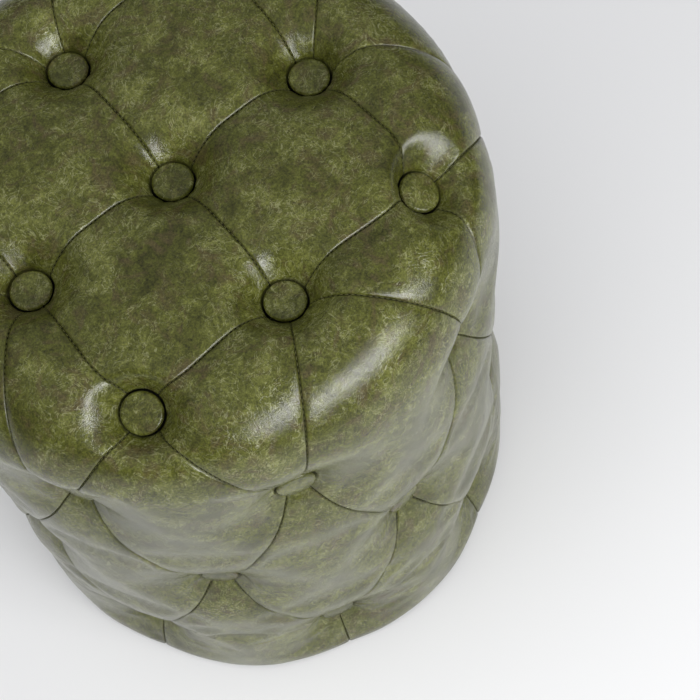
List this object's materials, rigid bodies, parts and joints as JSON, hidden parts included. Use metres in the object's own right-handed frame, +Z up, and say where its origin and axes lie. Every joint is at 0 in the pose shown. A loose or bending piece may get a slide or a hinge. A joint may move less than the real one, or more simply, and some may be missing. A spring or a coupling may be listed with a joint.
{
  "type": "pouf",
  "caption": "Round drum-shaped pouf with a deep-buttoned leatherette cover of padded diamond panels over a light wooden carcass, standing on low glides.",
  "frame": {"origin": "on the floor under the middle of the drum", "axes": "+Z up the drum's axis; -Y towards the top button nearest to the camera in the picture"},
  "size_m": [0.379, 0.379, 0.45],
  "materials": {
    "cover_leather": "mottled olive pull-up leatherette, semi-gloss, padded from behind",
    "button_leather": "covered with the same leatherette",
    "button_metal": "pressed steel button backs",
    "waxed_twine": "waxed tufting twine",
    "toggle_wood": "plain beech",
    "foam": "open-cell upholstery foam",
    "board": "plywood",
    "hardboard": "bent hardboard",
    "softwood": "sawn softwood",
    "zinc_steel": "zinc-plated steel",
    "dust_cloth": "black non-woven cloth",
    "glide_plastic": "black nylon"
  },
  "bodies": {
    "root": {"top_diamonds": "cover_leather", "rim_triangles": "cover_leather", "rim_diamonds": "cover_leather", "side_diamonds": "cover_leather", "base_panels": "cover_leather", "hem": "cover_leather", "top_button_caps": "button_leather", "side_button_caps": "button_leather", "top_button_backs": "button_metal", "side_button_backs": "button_metal", "top_twines": "waxed_twine", "side_twines": "waxed_twine", "top_toggles": "toggle_wood", "side_toggles": "toggle_wood", "foam_cap": "foam", "foam_sleeve": "foam", "top_board": "board", "base_board": "board", "wall": "hardboard", "post_1": "softwood", "post_2": "softwood", "post_3": "softwood", "post_4": "softwood", "top_screws": "zinc_steel", "base_screws": "zinc_steel", "glide_screws": "zinc_steel", "hem_staples": "zinc_steel", "dust_cover_staples": "zinc_steel", "wall_staples": "zinc_steel", "dust_cover": "dust_cloth", "glides": "glide_plastic"}
  },
  "joints": []
}
